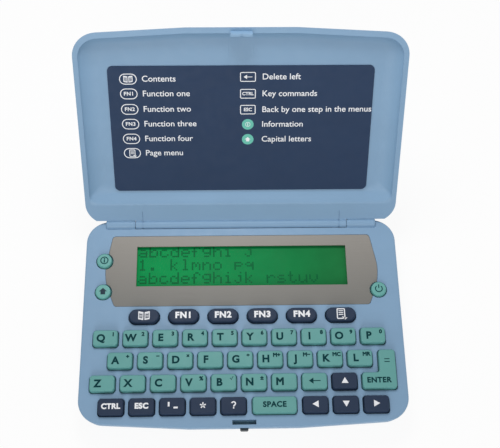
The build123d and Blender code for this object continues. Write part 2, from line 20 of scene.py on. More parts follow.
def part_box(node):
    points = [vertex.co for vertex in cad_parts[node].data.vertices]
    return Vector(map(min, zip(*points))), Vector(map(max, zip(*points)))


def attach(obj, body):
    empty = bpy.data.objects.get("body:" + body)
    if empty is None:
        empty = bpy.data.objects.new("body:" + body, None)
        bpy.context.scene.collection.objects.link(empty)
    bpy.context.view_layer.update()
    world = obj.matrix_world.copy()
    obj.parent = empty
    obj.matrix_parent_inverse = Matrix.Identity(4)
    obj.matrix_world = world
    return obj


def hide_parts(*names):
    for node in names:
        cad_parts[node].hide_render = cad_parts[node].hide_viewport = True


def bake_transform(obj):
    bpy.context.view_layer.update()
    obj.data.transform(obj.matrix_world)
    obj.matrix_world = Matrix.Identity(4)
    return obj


mm = 0.001
scene = bpy.context.scene
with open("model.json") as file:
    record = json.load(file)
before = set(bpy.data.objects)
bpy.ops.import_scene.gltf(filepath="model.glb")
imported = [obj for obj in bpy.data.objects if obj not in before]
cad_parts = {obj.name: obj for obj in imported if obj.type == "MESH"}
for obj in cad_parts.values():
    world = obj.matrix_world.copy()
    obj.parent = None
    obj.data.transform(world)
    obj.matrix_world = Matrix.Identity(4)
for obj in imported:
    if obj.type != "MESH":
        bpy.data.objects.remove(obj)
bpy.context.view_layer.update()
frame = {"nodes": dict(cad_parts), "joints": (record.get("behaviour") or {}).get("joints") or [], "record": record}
nodes = frame["nodes"]
key_names = [name for name in nodes if name.startswith(("key_", "button_"))]
print(len(nodes), "solids, of which", len(key_names), "are keys")

# %% [markdown]
# ## The lid's own plane
#
# Keys are pressed on a level deck, but the guide and the dish belong to the lid, which leans back.
# Its plane starts at the hinge axis, so one small helper turns "so far right, so far from the
# hinge, so high off the rim" into a place in the scene. It does that with a product of arrays, for
# a whole shape at once.

# %% The lid's inner face
open_angle = radians(122.4)
lid_joint = next(joint for joint in frame["joints"] if joint["name"] == "lid_hinge")
hinge = np.array(lid_joint["pos_m"])
across = np.array([1.0, 0.0, 0.0])
lid_out = np.array([0, -sin(open_angle), -cos(open_angle)])
lid_axes = np.array([across, np.cross(lid_out, across), lid_out])


def on_lid(shape, origin=hinge):
    """Carries a shape from the lid's own (right, up, out) lengths to the scene."""
    points, faces = shape
    return origin + points @ lid_axes, faces


def vertices_of(node):
    """A node's corners as an array with one row each."""
    mesh = nodes[node].data
    corners = np.empty(3 * len(mesh.vertices))
    mesh.vertices.foreach_get("co", corners)
    return corners.reshape(-1, 3)


plate_heights = (vertices_of("legend_plate") - hinge) @ lid_out
plate_face = hinge + lid_out * plate_heights.max()
print("the printed plate's face lies", round(plate_heights.max() / mm, 2), "mm off the lid's rim")

# %% [markdown]
# ## The camera
#
# The dictionary is seen as its reader sees it: from in front and well above, with the lid's inner
# face nearly square to the eye. A long lens keeps the two halves in proportion.

# %% Camera
eye_distance = 431.4 * mm
eye_tilt = radians(26.08)
eye_turn = radians(-1.437)
eye_roll = radians(-1.179)
eye_lens = 73.26
eye_target = Vector(hinge) + Vector((3.756 * mm, 0, 0))

backward = Vector((sin(eye_turn), -sin(eye_tilt) * cos(eye_turn), cos(eye_tilt) * cos(eye_turn)))
backward.normalize()
level = Vector((0, 1, 0)).cross(backward).normalized()
upward = backward.cross(level)
right = level * cos(eye_roll) + upward * sin(eye_roll)
top = upward * cos(eye_roll) - level * sin(eye_roll)

lens = bpy.data.cameras.new("reader_camera")
lens.sensor_width = 36
lens.lens = eye_lens
lens.clip_start, lens.clip_end = 0.01, 20
camera = bpy.data.objects.new("reader_camera", lens)
camera.matrix_world = Matrix((right, top, backward)).transposed().to_4x4()
camera.location = eye_target + backward * eye_distance
scene.collection.objects.link(camera)
scene.camera = camera
print("camera at", [round(c / mm) for c in camera.location], "mm")

# %% [markdown]
# ## Sky
#
# The product stands in a white studio. Its sky is white only to the eye and to reflections. What
# lights the plastic is a weaker one, so that each colour comes out about as it is written. The
# two are mixed in a graph of shader nodes. A node has settings, and inputs that hold a constant
# or a link, so two helpers are enough to write a graph down as it is read.

# %% Node helpers and the sky
def feed(tree, node, inputs):
    """Gives a node's inputs their values: a socket is linked, anything else is a constant."""
    for name, value in inputs.items():
        if isinstance(value, bpy.types.NodeSocket):
            tree.links.new(value, node.inputs[name])
        else:
            node.inputs[name].default_value = value


def add_node(tree, kind, inputs=None, **settings):
    """A new shader node of a kind, with its settings made and its inputs fed."""
    node = tree.nodes.new(f"ShaderNode{kind}")
    for setting, value in settings.items():
        setattr(node, setting, value)
    feed(tree, node, inputs or {})
    return node


def seen_directly(tree):
    """A node socket that is 1 for rays from the eye, and for reflected or refracted ones."""
    rays = add_node(tree, "LightPath").outputs
    bounced = {0: rays["Is Glossy Ray"], 1: rays["Is Transmission Ray"]}
    reflected = add_node(tree, "Math", bounced, operation="MAXIMUM").outputs[0]
    either = {0: rays["Is Camera Ray"], 1: reflected}
    return add_node(tree, "Math", either, operation="MAXIMUM").outputs[0]


sky_light = 0.45
scene.view_settings.view_transform = "Standard"
sky = bpy.data.worlds.new("studio_sky")
scene.world = sky
sky.use_nodes = True
sky_tree = sky.node_tree
sky_tree.nodes.clear()
sky_lights = [add_node(sky_tree, "Background", {"Color": (1, 1, 1, 1), "Strength": strength})
              for strength in (sky_light, 1.0)]
sky_mix = add_node(sky_tree, "MixShader", {0: seen_directly(sky_tree)})
feed(sky_tree, sky_mix, {1: sky_lights[0].outputs[0], 2: sky_lights[1].outputs[0]})
add_node(sky_tree, "OutputWorld", {"Surface": sky_mix.outputs[0]})
print("the sky's graph has", len(sky_tree.nodes), "nodes")

# %% [markdown]
# ## Lamps
#
# A soft lamp hangs over the hinge, so that rims and keys throw short shadows towards the reader. A
# larger, weaker one in front lights the leaning lid.
#
# A face comes out as written when it receives pi units of light. A sky of strength s gives pi * s,
# and a lamp of P watts at d metres gives P / (pi * d^2) straight below it. So each lamp below is
# given as its share of a full light, and its watts follow from share * pi^2 * d^2.

# %% Two lamps
lamps = {
    "overhead_lamp": {"share": 0.45, "size": 0.10, "distance": 0.28, "way": (-0.06, 0.35, 0.93)},
    "front_lamp": {"share": 0.36, "size": 0.60, "distance": 1.2, "way": (-0.08, -0.92, 0.40)},
}
for name, lamp in lamps.items():
    way = Vector(lamp["way"]).normalized()
    lamp_data = bpy.data.lights.new(name, "AREA")
    lamp_data.size = lamp["size"]
    lamp_data.energy = lamp["share"] * pi**2 * lamp["distance"] ** 2
    lamp_object = bpy.data.objects.new(name, lamp_data)
    lamp_object.location = eye_target + way * lamp["distance"]
    lamp_object.rotation_euler = way.to_track_quat("Z", "Y").to_euler()
    scene.collection.objects.link(lamp_object)
    print(name, "of", round(lamp_data.energy, 2), "W")

# %% [markdown]
# ## Floor
#
# The case stands on a white sweep. To the eye the sweep is nearly all plain white, and what
# remains is lit paper, which holds a faint shadow.

# %% A white sweep
floor_half = 2.5
floor_grey = 0.9
floor_white = 0.92  # how much of the eye's view of the floor is plain white

floor_mesh = bpy.data.meshes.new("floor")
floor_corners = np.array([(-1, -1, 0), (1, -1, 0), (1, 1, 0), (-1, 1, 0)]) * floor_half
floor_mesh.from_pydata(floor_corners.tolist(), [], [(0, 1, 2, 3)])
floor = bpy.data.objects.new("floor", floor_mesh)
scene.collection.objects.link(floor)

paper = bpy.data.materials.new("white_sweep")
paper.use_nodes = True
paper_tree = paper.node_tree
paper_tree.nodes.clear()
paper_share = add_node(paper_tree, "Math", {0: seen_directly(paper_tree), 1: floor_white},
                       operation="MULTIPLY")
paper_shade = add_node(paper_tree, "BsdfDiffuse", {"Color": (floor_grey,) * 3 + (1,)})
paper_glow = add_node(paper_tree, "Emission")
paper_mix = add_node(paper_tree, "MixShader", {0: paper_share.outputs[0]})
feed(paper_tree, paper_mix, {1: paper_shade.outputs[0], 2: paper_glow.outputs[0]})
add_node(paper_tree, "OutputMaterial", {"Surface": paper_mix.outputs[0]})
floor_mesh.materials.append(paper)
print("floor", 2 * floor_half, "m across")

# %% [markdown]
# ## Satin plastic
#
# Nearly every piece is moulded plastic. Under a lens it is never one flat colour: the resin
# streaks by a few percent, the tool leaves a fine even grain, and the gloss wanders a little with
# both. One recipe makes them all from a colour, a grain size and a gloss, and each finish then
# gets its own short line. Patterns read Object coordinates, which are metres here, so a grain of
# 0.35 mm stays 0.35 mm on every piece.

# %% The plastic recipe
def new_finish(name):
    """An empty material: its node tree, its main shader and the coordinates that it reads."""
    material = bpy.data.materials.new(name)
    material.use_nodes = True
    tree = material.node_tree
    shader = tree.nodes["Principled BSDF"]
    where = tree.nodes.new("ShaderNodeTexCoord").outputs["Object"]
    return material, tree, shader, where


def noise(tree, where, size, detail=3.0, stretch=(1, 1, 1)):
    """Cloudy noise whose lumps are about size metres wide, stretched along the axes."""
    shrink = [1 / factor for factor in stretch]
    mapping = add_node(tree, "Mapping", {"Vector": where, "Scale": shrink})
    clouds = {"Vector": mapping.outputs["Vector"], "Scale": 1 / size, "Detail": detail}
    return add_node(tree, "TexNoise", clouds).outputs["Fac"]


def ramp(tree, factor, stops):
    """Turns a factor into a colour through (position, colour) stops."""
    node = add_node(tree, "ValToRGB", {"Fac": factor})
    while len(node.color_ramp.elements) < len(stops):
        node.color_ramp.elements.new(0.5)
    for element, (position, colour) in zip(node.color_ramp.elements, stops):
        element.position = position
        element.color = (*colour, 1)
    return node.outputs["Color"]


def spread(tree, factor, low, high):
    """Carries a factor of about 0.3 to 0.7, which is noise's usual range, to another range."""
    limits = {"From Min": 0.3, "From Max": 0.7, "To Min": low, "To Max": high}
    return add_node(tree, "MapRange", {"Value": factor, **limits}).outputs["Result"]


def add_bump(tree, shader, height, depth):
    """Lets a height, times depth metres, tilt the shader's surface."""
    bump = add_node(tree, "Bump", {"Strength": 1.0, "Distance": depth, "Height": height})
    feed(tree, shader, {"Normal": bump.outputs["Normal"]})


def shades(colour, amount):
    """A colour a little darker and a little lighter."""
    return [tuple(channel * factor for channel in colour) for factor in (1 - amount, 1 + amount)]


def plastic(name, colour, grain=0.35, gloss=(0.42, 0.52), streak=0.035, bump=0.012, shine=0.35):
    """Moulded plastic: streaky resin, a fine grain and a gloss that wanders."""
    material, tree, shader, where = new_finish(name)
    dark, light = shades(colour, streak)
    resin = noise(tree, where, 9 * mm, stretch=(2, 1, 1))
    feed(tree, shader, {
        "Base Color": ramp(tree, resin, [(0.3, dark), (0.7, light)]),
        "Roughness": spread(tree, noise(tree, where, 3 * mm), *gloss),
        "Specular IOR Level": shine,
    })
    add_bump(tree, shader, noise(tree, where, grain * mm, detail=2.0), bump * mm)
    return material


case_plastic = plastic("case_plastic", (0.212, 0.350, 0.512), streak=0.02)
teal_plastic = plastic("teal_key_plastic", (0.112, 0.330, 0.312), grain=0.25)
dark_plastic = plastic("dark_key_plastic", (0.020, 0.035, 0.070), grain=0.25, shine=0.15)
button_plastic = plastic("round_button_plastic", (0.125, 0.375, 0.345), gloss=(0.34, 0.44))
print("plastics:", [m.name for m in bpy.data.materials if "plastic" in m.name])

# %% [markdown]
# ## Painted light and shade on one moulding
#
# The catch is one moulding, so its button and the plate behind it move as one. The button is
# painted nearly black, a painted shadow where it stands at the deck's front. The plate, which
# shows through the slot of the deck, is painted a paler greyish blue: painted light that makes up
# for the slot's shade. They could be two pieces, but they move as one. So the recipe's colour
# gets a second shade, and their border is a place along y.

# %% Painted light and shade on the catch
# The button's near black is painted shadow, and the plate's paler blue is painted light.
painted_shadow_on_button = (0.028, 0.040, 0.048, 1)
painted_light_on_plate = (0.17, 0.31, 0.38)
painted_border_from, painted_border_to = -44.5 * mm, -43.9 * mm


def along(tree, where, axis, start, end):
    """A factor that climbs from 0 at one place on an axis to 1 at another."""
    reading = add_node(tree, "SeparateXYZ", {"Vector": where}).outputs[axis]
    limits = {"From Min": start, "From Max": end}
    return add_node(tree, "MapRange", {"Value": reading, **limits}).outputs["Result"]


latch_plastic = plastic("latch_plastic", painted_light_on_plate, gloss=(0.4, 0.5), shine=0.25)
latch_tree = latch_plastic.node_tree
latch_colour = latch_tree.nodes["Principled BSDF"].inputs["Base Color"]
latch_where = add_node(latch_tree, "TexCoord").outputs["Object"]
# Painted shadow on the button and painted light on the plate, blended along y.
painted_light_and_shade = add_node(latch_tree, "Mix", {
    "Factor": along(latch_tree, latch_where, "Y", painted_border_from, painted_border_to),
    "A": painted_shadow_on_button,
    "B": latch_colour.links[0].from_socket,
}, data_type="RGBA")
latch_tree.links.new(painted_light_and_shade.outputs["Result"], latch_colour)
print("the catch's shades meet at y =", round(painted_border_to / mm, 1), "mm")

# %% [markdown]
# ## The other finishes
#
# The display's plate is satin grey with a faint brushed direction, and painted shade darkens it
# towards its front edge. The display is green, with painted light from its lamp that makes it
# brightest at its left. The board is lacquered green, the mat is rubber, and the cells, contacts,
# spring and screws are plated steel. White and dark inks print the legends.

# %% Plate, display, inks and inner materials
def veined(tree, colour, factor, low):
    """A colour darkened to the share low where a noise factor is small."""
    grey = ramp(tree, factor, [(0.3, (low,) * 3), (0.7, (1.0,) * 3)])
    both = {"Factor": 1.0, "A": colour, "B": grey}
    return add_node(tree, "Mix", both, data_type="RGBA", blend_type="MULTIPLY").outputs["Result"]


def brushed_plate_painted_shade():
    """Satin grey film with hairlines, and painted shade darkening it towards its front edge."""
    material, tree, shader, where = new_finish("bezel_film")
    # The front's darker grey is painted shade; the back's grey is the film's own.
    back, front = (0.290, 0.270, 0.243), (0.181, 0.178, 0.165)
    low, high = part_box("bezel_plate")
    colour = ramp(tree, along(tree, where, "Y", low.y, high.y), [(0.0, front), (1.0, back)])
    hairlines = noise(tree, where, 0.25 * mm, stretch=(60, 1, 1))
    feed(tree, shader, {
        "Base Color": veined(tree, colour, hairlines, 0.93),
        "Roughness": spread(tree, hairlines, 0.42, 0.54),
        "Metallic": 0.1,
        "Specular IOR Level": 0.2,
    })
    add_bump(tree, shader, hairlines, 0.004 * mm)
    return material


def display_painted_backlight():
    """A green display under clear gloss, painted lighter at its left, where its lamp is."""
    material, tree, shader, where = new_finish("display_green")
    # The green's fall from left to right is painted light from the display's lamp.
    left, middle, far = (0.003, 0.295, 0.076), (0.004, 0.235, 0.062), (0.018, 0.178, 0.051)
    low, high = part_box("lcd_panel")
    stops = [(0.0, left), (0.3, left), (0.62, middle), (1.0, far)]
    colour = ramp(tree, along(tree, where, "X", low.x, high.x), stops)
    clouds = noise(tree, where, 6 * mm)
    feed(tree, shader, {
        "Base Color": veined(tree, colour, clouds, 0.9),
        "Roughness": spread(tree, clouds, 0.3, 0.36),
        "Specular IOR Level": 0.02,
        "Coat Weight": 0.01,
        "Coat Roughness": 0.08,
    })
    return material


def ink(name, colour, shine=0.2):
    """Printed ink, a little uneven in thickness."""
    return plastic(name, colour, grain=0.12, gloss=(0.4, 0.55), streak=0.02, bump=0.004,
                   shine=shine)


def steel(name, colour, gloss):
    """Plated steel with fine rolling lines."""
    material, tree, shader, where = new_finish(name)
    lines = noise(tree, where, 0.2 * mm, stretch=(20, 1, 1))
    dark, light = shades(colour, 0.06)
    feed(tree, shader, {
        "Base Color": ramp(tree, lines, [(0.3, dark), (0.7, light)]),
        "Roughness": spread(tree, lines, *gloss),
        "Metallic": 1.0,
    })
    add_bump(tree, shader, lines, 0.003 * mm)
    return material


legend_print = plastic("legend_print", (0.018, 0.039, 0.089), grain=0.2, shine=0.15)
white_ink = ink("white_ink", (0.86, 0.87, 0.90))
key_ink = ink("key_ink", (0.002, 0.038, 0.044), shine=0.05)
sign_ink = ink("sign_ink", (0.003, 0.055, 0.062), shine=0.05)
navy_ink = ink("navy_ink", (0.007, 0.024, 0.042))
teal_ink = ink("teal_ink", (0.140, 0.520, 0.420))
display_ink = ink("display_ink", (0.004, 0.125, 0.040), shine=0.04)
bezel_film = brushed_plate_painted_shade()
display_green = display_painted_backlight()
board_lacquer = plastic("board_lacquer", (0.02, 0.13, 0.05), grain=0.5, gloss=(0.25, 0.35))
mat_rubber = plastic("mat_rubber", (0.28, 0.29, 0.30), grain=0.2, gloss=(0.7, 0.8), bump=0.02)
cell_steel = steel("cell_steel", (0.62, 0.62, 0.60), (0.25, 0.35))
screw_steel = steel("screw_steel", (0.30, 0.31, 0.33), (0.3, 0.4))
print(len(bpy.data.materials), "materials")

# %% [markdown]
# ## Dressing the solids that stay
#
# The shells, plates and inner parts already have the right shape, and only need a finish and
# softer edges. Their meshes are loose triangles. A few modifiers mend that without touching them:
# Weld joins the corners, and Decimate melts each flat face into one polygon. Then Bevel can roll
# every sharp edge over, as a mould's edges are, and catch the light there. Weighted Normal comes
# last. It lets the broad faces keep their flat shading while the narrow cuts along a rounded edge
# blend into one soft curve. Small inner parts get an Edge Split instead of the Bevel.

# %% Soft shading for the solids
crease = radians(38)
weld_distance = 0.002 * mm
flat_within = radians(1)
edge_rounding = {
    "base_tray": 0.25,
    "deck_shell": 0.25,
    "battery_door": 0.25,
    "lid_shell": 0.35,
    "bezel_plate": 0.12,
    "latch_slider": 0.2,
    "legend_plate": 0.08,
}

finish_of_node = {
    "base_tray": case_plastic,
    "deck_shell": case_plastic,
    "battery_door": case_plastic,
    "lid_shell": case_plastic,
    "bezel_plate": bezel_film,
    "lcd_panel": display_green,
    "circuit_board": board_lacquer,
    "keypad_mat": mat_rubber,
    "coin_cells": cell_steel,
    "battery_contacts": cell_steel,
    "latch_spring": cell_steel,
    "legend_plate": legend_print,
    "latch_slider": latch_plastic,
}


def dress(node, material):
    """Gives a solid its finish, and soft shading through modifiers alone."""
    solid = nodes[node]
    solid.data.materials.clear()
    solid.data.materials.append(material)
    solid.data.shade_smooth()
    weld = solid.modifiers.new("join_corners", "WELD")
    weld.merge_threshold = weld_distance
    if node in edge_rounding:
        melt = solid.modifiers.new("melt_flat_faces", "DECIMATE")
        melt.decimate_type = "DISSOLVE"
        melt.angle_limit = flat_within
        bevel = solid.modifiers.new("roll_edges_over", "BEVEL")
        bevel.width = edge_rounding[node] * mm
        bevel.segments = 2
        bevel.limit_method = "ANGLE"
        bevel.angle_limit = crease
    else:
        split = solid.modifiers.new("keep_sharp_edges", "EDGE_SPLIT")
        split.split_angle = crease
    solid.modifiers.new("flat_faces_first", "WEIGHTED_NORMAL")


for node, material in finish_of_node.items():
    dress(node, material)
print("dressed", len(finish_of_node), "solids")

# %% [markdown]
# ## Outlines with rounded corners
#
# Keys, icons and plates share one kind of outline: straight runs joined by quarter turns. Each
# corner is an arc about a fixed centre, so growing the outline only changes the arcs' radii. An
# outside corner's radius grows with it and an inside corner's shrinks, which is what makes the
# L-shaped ENTER key work too.

# %% Rounded outlines
arc_steps = 7


def rectangle(width, length):
    """The four corners of a rectangle about the origin, anticlockwise."""
    x, y = width / 2, length / 2
    return np.array([(x, -y), (x, y), (-x, y), (-x, -y)])


def rounded(corners, radius, growth):
    """Rounded outlines, one for each growth: an array of (outline, point, xy).

    A corner's arc starts back along the side that arrives and ends along the side that leaves.
    Its points are centre + (radius + turn * growth) * (cos(t) * -leave + sin(t) * arrive), for t
    from 0 to a quarter turn, where turn is 1 at an outside corner and -1 at an inside one.
    """
    arrive = corners - np.roll(corners, 1, axis=0)
    arrive = arrive / np.linalg.norm(arrive, axis=1, keepdims=True)
    leave = np.roll(arrive, -1, axis=0)
    centres = corners + radius * (leave - arrive)
    turn = arrive[:, 0] * leave[:, 1] - arrive[:, 1] * leave[:, 0]
    t = np.linspace(0, pi / 2, arc_steps)[None, :, None]
    ways = np.cos(t) * -leave[:, None, :] + np.sin(t) * arrive[:, None, :]
    growth = np.atleast_1d(growth)[:, None, None, None]
    reach = radius + turn[None, :, None, None] * growth
    return (centres[None, :, None, :] + reach * ways[None]).reshape(len(growth), -1, 2)


def circle(radius, count=40):
    """Points of one circle about the origin, anticlockwise."""
    t = np.linspace(0, 2 * pi, count, endpoint=False)
    return radius * np.stack([np.cos(t), np.sin(t)], axis=1)


trial_outline = rounded(rectangle(10, 6), 1, [0.0, 0.5])
print("an outline of", trial_outline.shape[1], "points grows from", trial_outline[0].max(0),
      "to", trial_outline[1].max(0))

# %% [markdown]
# ## Stacks of rings
#
# Outlines at rising heights are the rings of one skin, closed at its ends, as a potter builds a
# cup from coils. Every cap, plate and sign below is such a shape: an array of points and a list of
# faces. It becomes an object only when it is in its place.

# %% Skins and pieces
def raised(outlines, heights):
    """Lifts each outline to its height: an array of (ring, point, xyz)."""
    heights = np.broadcast_to(np.asarray(heights, float)[:, None, None], outlines.shape[:2] + (1,))
    return np.concatenate([outlines, heights], axis=2)


def skin(rings, looped=False):
    """Points and faces of a stack of rings that climbs anticlockwise.

    Quads join neighbouring rings. The ends are closed by one face each, or joined to each other
    where the stack is a loop.
    """
    count, size = rings.shape[:2]
    index = np.arange(count * size).reshape(count, size)
    upper = np.roll(index, -1, axis=0) if looped else index[1:]
    lower = index if looped else index[:-1]
    quads = np.stack([lower, np.roll(lower, -1, 1), np.roll(upper, -1, 1), upper], axis=-1)
    ends = [] if looped else [index[0, ::-1].tolist(), index[-1].tolist()]
    return rings.reshape(-1, 3), quads.reshape(-1, 4).tolist() + ends


def joined(shapes):
    """Several (points, faces) pairs as one."""
    points, faces, start = [], [], 0
    for shape_points, shape_faces in shapes:
        points.append(shape_points)
        faces += [[corner + start for corner in face] for face in shape_faces]
        start += len(shape_points)
    return np.concatenate(points), faces


def moved(shape, x, y, z=0.0):
    """A shape shifted by x, y and z."""
    points, faces = shape
    return points + np.array([x, y, z]), faces


def add_piece(name, shape, material, body):
    """Makes a shape an object with soft shading that keeps its flat faces flat.

    Without a body it is left free.
    """
    points, faces = shape
    mesh = bpy.data.meshes.new(name)
    mesh.from_pydata(points.tolist(), [], faces)
    mesh.materials.append(material)
    mesh.shade_smooth()
    mesh.set_sharp_from_angle(angle=crease)
    piece = bpy.data.objects.new(name, mesh)
    scene.collection.objects.link(piece)
    flat = piece.modifiers.new("flat_faces_first", "WEIGHTED_NORMAL")
    flat.keep_sharp = True
    if body:
        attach(piece, body)
    return piece


print("two outlines make a skin of", len(skin(raised(trial_outline, [0, 1]))[1]), "faces")

# %% [markdown]
# ## Key caps
#
# A rubber-dome key is a moulded cap on a thin flange that the deck holds down. Seen close, its
# rim is rolled over rather than cut, its skirt leans outwards by three degrees so that it leaves
# the mould, and its corners are round. The cap could be a box with a Bevel modifier, but a stack
# of outlines gives exact control: each ring has a height and a growth, and the rolled rim is a
# quarter of a circle.

# %% One cap from a stack of rings
skirt_draft = radians(3)
skirt_height = 3.6 * mm
key_flare = tan(skirt_draft) * skirt_height
flange_reach = key_flare + 0.65 * mm
flange_height = 0.8 * mm
rim_roll = 0.5 * mm
rim_steps = 6
cap_corner = 1.3 * mm
least_straight = 0.02 * mm
enter_column = 6.6 * mm
key_length = 6.5 * mm
finish_of_slot = {"teal_key": teal_plastic, "dark_key": dark_plastic, "round_key": button_plastic}
slot_of_node = {row["node"]: row["material_slot"] for row in frame["record"]["subparts"]}


def cap_rings(corners, radius, cap_height):
    """A cap about its own middle, from its flange's underside up to its flat top at height 0.

    The rim's growth is roll * (sin(t) - 1) and its height is roll * (cos(t) - 1), for t from a
    quarter turn down to 0, so it meets the skirt upright and the top level.
    """
    t = np.linspace(pi / 2, 0, rim_steps)
    shoulder = -cap_height + flange_height
    growths = np.array([flange_reach, flange_reach, key_flare])
    heights = np.array([-cap_height, shoulder, shoulder])
    growths = np.concatenate([growths, rim_roll * (np.sin(t) - 1)])
    heights = np.concatenate([heights, rim_roll * (np.cos(t) - 1)])
    return raised(rounded(corners, radius, growths), heights)


def cap_corners(name):
    """The corners and corner radius of a key's cap, by the kind of key that it is."""
    low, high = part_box(name)
    width, length = (high - low).xy - Vector((2, 2)) * flange_reach
    if name == "key_enter":
        right, far = width / 2, length / 2
        step, shelf = right - enter_column, key_length - far
        corners = [(right, -far), (right, far), (step, far), (step, shelf), (-right, shelf),
                   (-right, -far)]
        return np.array(corners), cap_corner
    if name.startswith("key_function"):
        return rectangle(width, length), length / 2 - least_straight
    if name.startswith("button"):
        return rectangle(width, length), width / 2 - least_straight
    return rectangle(width, length), cap_corner


key_tops = {}
for name in key_names:
    low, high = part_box(name)
    middle = (low + high) / 2
    key_tops[name] = np.array([middle.x, middle.y, high.z])
    shape = skin(cap_rings(*cap_corners(name), high.z - low.z))
    slot = slot_of_node[name]
    cap = add_piece(f"{name}_cap", moved(shape, *key_tops[name]), finish_of_slot[slot], name)
    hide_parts(name)
    nodes[name].data.materials.clear()
    nodes[name].data.materials.append(finish_of_slot[slot])
print(len(key_tops), "caps, the letter caps", round(np.ptp(cap_corners("key_a")[0][:, 0]) / mm, 2),
      "mm wide")

# %% [markdown]
# ## The lips of the key holes
#
# On the real deck each hole's lip is rolled over and follows its cap at an even distance. The
# solid's holes have clipped corners, so a thin collar in the deck's own plastic lines each one.
# It is a loop of outlines: out on the deck, over the lip, down into the hole and back.

# %% One lip around each hole
cap_rise = 2.0 * mm
lip_inside = key_flare * 0.6 + 0.3 * mm
lip_reach = key_flare + 0.65 * mm
lip_roll = 0.3 * mm
lip_height = 0.02 * mm
lip_ramp = 0.15 * mm
lip_depth = 0.9 * mm


def lip_rings(corners, radius):
    """A hole's lip about its cap's middle, with the cap's top at height 0.

    Its roll has the growth inside + roll * (1 - sin(t)) and falls by roll * (1 - cos(t)), for t
    from 0 to a quarter turn.
    """
    t = np.linspace(0, pi / 2, 5)
    outside = [lip_reach, lip_reach, lip_reach - lip_ramp]
    growths = np.concatenate([outside, lip_inside + lip_roll * (1 - np.sin(t)), [lip_inside]])
    falls = [lip_depth, 2 * lip_height, 0], lip_roll * (1 - np.cos(t)), [lip_depth]
    return raised(rounded(corners, radius, growths), lip_height - cap_rise - np.concatenate(falls))


lips = []
for name in key_names:
    if not name.startswith("button"):
        rings = lip_rings(*cap_corners(name))
        lips.append(moved(skin(rings, looped=True), *key_tops[name]))
add_piece("key_hole_lips", joined(lips), case_plastic, "base")
print(len(lips), "lips")

# %% [markdown]
# ## Ink
#
# Legends are pad-printed: a film of ink a few hundredths of a millimetre thick. Words come from
# a text curve that is turned into a mesh at once. Each is built flat about its own middle, and
# then laid on the face that carries it.

# %% Words
ink_height = 0.02 * mm
ink_crown = 0.06


def words(text, size, weight=0.0, align="CENTER", spacing=1.0):
    """Text as a thin closed shape, size metres from one line to the next.

    The curve's bevel widens each stroke by weight times the size. It also rounds the ink upwards,
    so what stands above the film's half height is pressed down to a faint crown.
    """
    curve = bpy.data.curves.new("words", "FONT")
    curve.body = text
    curve.size = size
    curve.space_character = spacing
    curve.bevel_depth = weight * size
    curve.bevel_resolution = 0
    curve.extrude = ink_height / 2
    curve.align_x = align
    curve.align_y = "CENTER"
    curve.resolution_u = 5
    holder = bpy.data.objects.new("words", curve)
    scene.collection.objects.link(holder)
    mesh = bpy.data.meshes.new_from_object(holder)
    points = np.empty(3 * len(mesh.vertices))
    mesh.vertices.foreach_get("co", points)
    faces = [list(face.vertices) for face in mesh.polygons]
    bpy.data.objects.remove(holder)
    bpy.data.curves.remove(curve)
    bpy.data.meshes.remove(mesh)
    points = points.reshape(-1, 3)
    film = np.clip(points[:, 2], -ink_height / 2, ink_height / 2)
    points[:, 2] = film + ink_crown * (points[:, 2] - film) + ink_height / 2
    return points, faces


print("a word's ink is", round(np.ptp(words("MENU", 2 * mm)[0][:, 2]) / mm, 3), "mm thick")

# %% [markdown]
# ## Lines and fills
#
# Signs are drawn from the same outlines as the caps. A filled shape is a stack of two rings, and a
# line is a loop of four: up its outer side, over and down its inner side. Sizes are in
# millimetres, because the signs are only a few across.

# %% Lines and fills
def solid_sign(points):
    """A filled flat sign from its outline, anticlockwise, in metres."""
    return skin(raised(np.stack([points, points]), [0, ink_height]))


def line_sign(outer, inner):
    """A flat line between an outer and an inner outline of as many points."""
    outlines = np.stack([outer, outer, inner, inner])
    return skin(raised(outlines, [0, ink_height, ink_height, 0]), looped=True)


def stroke(points, width):
    """A flat line along a path in millimetres: each side is the path plus half a width * normal."""
    path = np.array(points, float)
    ahead = np.gradient(path, axis=0)
    aside = ahead[:, ::-1] * (-1, 1) / np.linalg.norm(ahead, axis=1, keepdims=True) * width / 2
    return solid_sign(np.concatenate([path - aside, (path + aside)[::-1]]) * mm)


def bar(x, y, width, length):
    """A filled rectangle about (x, y), in millimetres."""
    return moved(solid_sign(rectangle(width, length) * mm), x * mm, y * mm)


def polygon(*points):
    """A filled shape from its corners in millimetres, anticlockwise."""
    return solid_sign(np.array(points) * mm)


def box_sign(width, length, radius, line):
    """A rounded frame of a given line width, in millimetres."""
    outer, inner = rounded(rectangle(width, length) * mm, radius * mm, [0, -line * mm])
    return line_sign(outer, inner)


def arrow_head(angle, size=2.6):
    """A filled triangle that points at an angle in degrees, 0 to the right."""
    turn = radians(angle)
    shape = np.array([(0.5, 0), (-0.42, 0.52), (-0.42, -0.52)]) * size * mm
    spin = np.array([(cos(turn), sin(turn)), (-sin(turn), cos(turn))])
    return solid_sign(shape @ spin)


def scaled(shape, factor):
    """A flat sign made larger or smaller, with its ink as thick as before."""
    points, faces = shape
    return points * (factor, factor, 1), faces


print("a stroke has", len(stroke([(0, 0), (1, 0), (2, 1)], 0.5)[1]), "faces")

# %% [markdown]
# ## Signs
#
# The signs are those that many pocket machines share: a book, a page, arrows, a ringed i, a
# power ring, a question mark and a star. Each is a few lines and fills put together.

# %% Signs
def book_sign():
    """An open book: two leaning pages with three lines of print on each."""
    shapes = []
    for side in (-1, 1):
        page = np.array([(0.25, -1.9), (2.3, -1.5), (2.3, 1.9), (0.25, 1.5)]) * (side, 1)
        page = page[::side]
        inner = page.mean(0) + (page - page.mean(0)) * 0.66
        shapes.append(line_sign(page * mm, inner * mm))
        for row in (-0.55, 0.15, 0.85):
            shapes.append(bar(side * 1.28, row, 1.1, 0.26))
    return joined(shapes)


